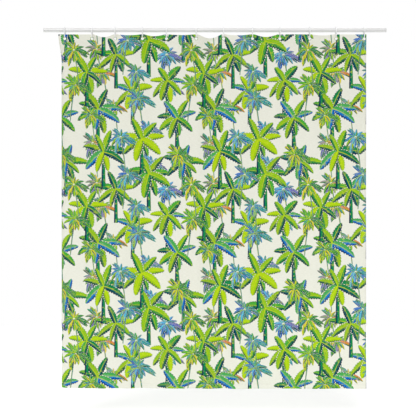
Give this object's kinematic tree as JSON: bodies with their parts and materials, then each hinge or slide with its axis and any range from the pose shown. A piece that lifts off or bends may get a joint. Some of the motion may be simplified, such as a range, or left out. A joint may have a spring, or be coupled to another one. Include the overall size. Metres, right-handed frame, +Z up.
{
  "type": "shower curtain",
  "caption": "Printed fabric shower curtain that hangs in shallow folds from plastic snap rings on a straight round rod.",
  "frame": {"origin": "on the rod's axis at the middle of its length", "axes": "+X along the rod, +Y away from the curtain's printed front, +Z up"},
  "size_m": [2.03, 0.0512, 2.1441],
  "materials": {
    "cloth": "matte woven polyester with a printed tropical leaf pattern",
    "tape": "matte non-woven stiffener",
    "thread": "matte thread",
    "ring_plastic": "smooth white",
    "rod_metal": "satin",
    "plug_plastic": "matte"
  },
  "bodies": {
    "end_plugs": {"end_plug_left": "plug_plastic", "end_plug_right": "plug_plastic"},
    "rod": {"rod_tube": "rod_metal"},
    "strip_01": {"curtain_strip_01": "cloth", "header_tape_01": "tape", "eyelet_stitching_01": "thread"},
    "ring_01": {"ring_01": "ring_plastic"},
    "strip_02": {"curtain_strip_02": "cloth", "header_tape_02": "tape", "eyelet_stitching_02": "thread"},
    "ring_02": {"ring_02": "ring_plastic"},
    "strip_03": {"curtain_strip_03": "cloth", "header_tape_03": "tape", "eyelet_stitching_03": "thread"},
    "ring_03": {"ring_03": "ring_plastic"},
    "strip_04": {"curtain_strip_04": "cloth", "header_tape_04": "tape", "eyelet_stitching_04": "thread"},
    "ring_04": {"ring_04": "ring_plastic"},
    "strip_05": {"curtain_strip_05": "cloth", "header_tape_05": "tape", "eyelet_stitching_05": "thread"},
    "ring_05": {"ring_05": "ring_plastic"},
    "strip_06": {"curtain_strip_06": "cloth", "header_tape_06": "tape", "eyelet_stitching_06": "thread"},
    "ring_06": {"ring_06": "ring_plastic"},
    "strip_07": {"curtain_strip_07": "cloth", "header_tape_07": "tape", "eyelet_stitching_07": "thread"},
    "ring_07": {"ring_07": "ring_plastic"},
    "strip_08": {"curtain_strip_08": "cloth", "header_tape_08": "tape", "eyelet_stitching_08": "thread"},
    "ring_08": {"ring_08": "ring_plastic"},
    "strip_09": {"curtain_strip_09": "cloth", "header_tape_09": "tape", "eyelet_stitching_09": "thread"},
    "ring_09": {"ring_09": "ring_plastic"},
    "strip_10": {"curtain_strip_10": "cloth", "header_tape_10": "tape", "eyelet_stitching_10": "thread"},
    "ring_10": {"ring_10": "ring_plastic"},
    "strip_11": {"curtain_strip_11": "cloth", "header_tape_11": "tape", "eyelet_stitching_11": "thread"},
    "ring_11": {"ring_11": "ring_plastic"},
    "strip_12": {"curtain_strip_12": "cloth", "header_tape_12": "tape", "eyelet_stitching_12": "thread"},
    "ring_12": {"ring_12": "ring_plastic"}
  },
  "joints": [
    {"name": "curtain_swing", "type": "hinge", "parent": "end_plugs", "child": "rod", "pos_m": [0, 0, 0], "axis": [1, 0, 0], "range_deg": [-20, 20]},
    {"name": "curtain_draw", "type": "hinge", "parent": "rod", "child": "strip_01", "pos_m": [-0.8899, 0, 0], "axis": [0, 0, 1], "range_deg": [0, 75]},
    {"name": "ring_turn_01", "type": "hinge", "parent": "strip_01", "child": "ring_01", "pos_m": [-0.8899, 0, 0], "axis": [0, 0, 1], "range_deg": [-37.5, 0]},
    {"name": "fold_01_02", "type": "hinge", "parent": "strip_01", "child": "strip_02", "pos_m": [-0.809, 0, 0], "axis": [0, 0, 1], "range_deg": [-150, 0]},
    {"name": "ring_turn_02", "type": "hinge", "parent": "strip_02", "child": "ring_02", "pos_m": [-0.7281, 0, 0], "axis": [0, 0, 1], "range_deg": [0, 37.5]},
    {"name": "fold_02_03", "type": "hinge", "parent": "strip_02", "child": "strip_03", "pos_m": [-0.6597, 0, 0], "axis": [0, 0, 1], "range_deg": [0, 150]},
    {"name": "ring_turn_03", "type": "hinge", "parent": "strip_03", "child": "ring_03", "pos_m": [-0.5913, 0, 0], "axis": [0, 0, 1], "range_deg": [-37.5, 0]},
    {"name": "fold_03_04", "type": "hinge", "parent": "strip_03", "child": "strip_04", "pos_m": [-0.5104, 0, 0], "axis": [0, 0, 1], "range_deg": [-150, 0]},
    {"name": "ring_turn_04", "type": "hinge", "parent": "strip_04", "child": "ring_04", "pos_m": [-0.4295, 0, 0], "axis": [0, 0, 1], "range_deg": [0, 37.5]},
    {"name": "fold_04_05", "type": "hinge", "parent": "strip_04", "child": "strip_05", "pos_m": [-0.3586, 0, 0], "axis": [0, 0, 1], "range_deg": [0, 150]},
    {"name": "ring_turn_05", "type": "hinge", "parent": "strip_05", "child": "ring_05", "pos_m": [-0.2877, 0, 0], "axis": [0, 0, 1], "range_deg": [-37.5, 0]},
    {"name": "fold_05_06", "type": "hinge", "parent": "strip_05", "child": "strip_06", "pos_m": [-0.1993, 0, 0], "axis": [0, 0, 1], "range_deg": [-150, 0]},
    {"name": "ring_turn_06", "type": "hinge", "parent": "strip_06", "child": "ring_06", "pos_m": [-0.1109, 0, 0], "axis": [0, 0, 1], "range_deg": [0, 37.5]},
    {"name": "fold_06_07", "type": "hinge", "parent": "strip_06", "child": "strip_07", "pos_m": [-0.03, 0, 0], "axis": [0, 0, 1], "range_deg": [0, 150]},
    {"name": "ring_turn_07", "type": "hinge", "parent": "strip_07", "child": "ring_07", "pos_m": [0.0509, 0, 0], "axis": [0, 0, 1], "range_deg": [-37.5, 0]},
    {"name": "fold_07_08", "type": "hinge", "parent": "strip_07", "child": "strip_08", "pos_m": [0.1368, 0, 0], "axis": [0, 0, 1], "range_deg": [-150, 0]},
    {"name": "ring_turn_08", "type": "hinge", "parent": "strip_08", "child": "ring_08", "pos_m": [0.2227, 0, 0], "axis": [0, 0, 1], "range_deg": [0, 37.5]},
    {"name": "fold_08_09", "type": "hinge", "parent": "strip_08", "child": "strip_09", "pos_m": [0.3036, 0, 0], "axis": [0, 0, 1], "range_deg": [0, 150]},
    {"name": "ring_turn_09", "type": "hinge", "parent": "strip_09", "child": "ring_09", "pos_m": [0.3845, 0, 0], "axis": [0, 0, 1], "range_deg": [-37.5, 0]},
    {"name": "fold_09_10", "type": "hinge", "parent": "strip_09", "child": "strip_10", "pos_m": [0.4729, 0, 0], "axis": [0, 0, 1], "range_deg": [-150, 0]},
    {"name": "ring_turn_10", "type": "hinge", "parent": "strip_10", "child": "ring_10", "pos_m": [0.5613, 0, 0], "axis": [0, 0, 1], "range_deg": [0, 37.5]},
    {"name": "fold_10_11", "type": "hinge", "parent": "strip_10", "child": "strip_11", "pos_m": [0.6397, 0, 0], "axis": [0, 0, 1], "range_deg": [0, 150]},
    {"name": "ring_turn_11", "type": "hinge", "parent": "strip_11", "child": "ring_11", "pos_m": [0.7181, 0, 0], "axis": [0, 0, 1], "range_deg": [-37.5, 0]},
    {"name": "fold_11_12", "type": "hinge", "parent": "strip_11", "child": "strip_12", "pos_m": [0.8015, 0, 0], "axis": [0, 0, 1], "range_deg": [-150, 0]},
    {"name": "ring_turn_12", "type": "hinge", "parent": "strip_12", "child": "ring_12", "pos_m": [0.8849, 0, 0], "axis": [0, 0, 1], "range_deg": [0, 37.5]}
  ],
  "couplings": [
    {"joint": "ring_turn_01", "follows": "curtain_draw", "ratio": -0.5},
    {"joint": "fold_01_02", "follows": "curtain_draw", "ratio": -2},
    {"joint": "ring_turn_02", "follows": "curtain_draw", "ratio": 0.5},
    {"joint": "fold_02_03", "follows": "curtain_draw", "ratio": 2},
    {"joint": "ring_turn_03", "follows": "curtain_draw", "ratio": -0.5},
    {"joint": "fold_03_04", "follows": "curtain_draw", "ratio": -2},
    {"joint": "ring_turn_04", "follows": "curtain_draw", "ratio": 0.5},
    {"joint": "fold_04_05", "follows": "curtain_draw", "ratio": 2},
    {"joint": "ring_turn_05", "follows": "curtain_draw", "ratio": -0.5},
    {"joint": "fold_05_06", "follows": "curtain_draw", "ratio": -2},
    {"joint": "ring_turn_06", "follows": "curtain_draw", "ratio": 0.5},
    {"joint": "fold_06_07", "follows": "curtain_draw", "ratio": 2},
    {"joint": "ring_turn_07", "follows": "curtain_draw", "ratio": -0.5},
    {"joint": "fold_07_08", "follows": "curtain_draw", "ratio": -2},
    {"joint": "ring_turn_08", "follows": "curtain_draw", "ratio": 0.5},
    {"joint": "fold_08_09", "follows": "curtain_draw", "ratio": 2},
    {"joint": "ring_turn_09", "follows": "curtain_draw", "ratio": -0.5},
    {"joint": "fold_09_10", "follows": "curtain_draw", "ratio": -2},
    {"joint": "ring_turn_10", "follows": "curtain_draw", "ratio": 0.5},
    {"joint": "fold_10_11", "follows": "curtain_draw", "ratio": 2},
    {"joint": "ring_turn_11", "follows": "curtain_draw", "ratio": -0.5},
    {"joint": "fold_11_12", "follows": "curtain_draw", "ratio": -2},
    {"joint": "ring_turn_12", "follows": "curtain_draw", "ratio": 0.5}
  ]
}
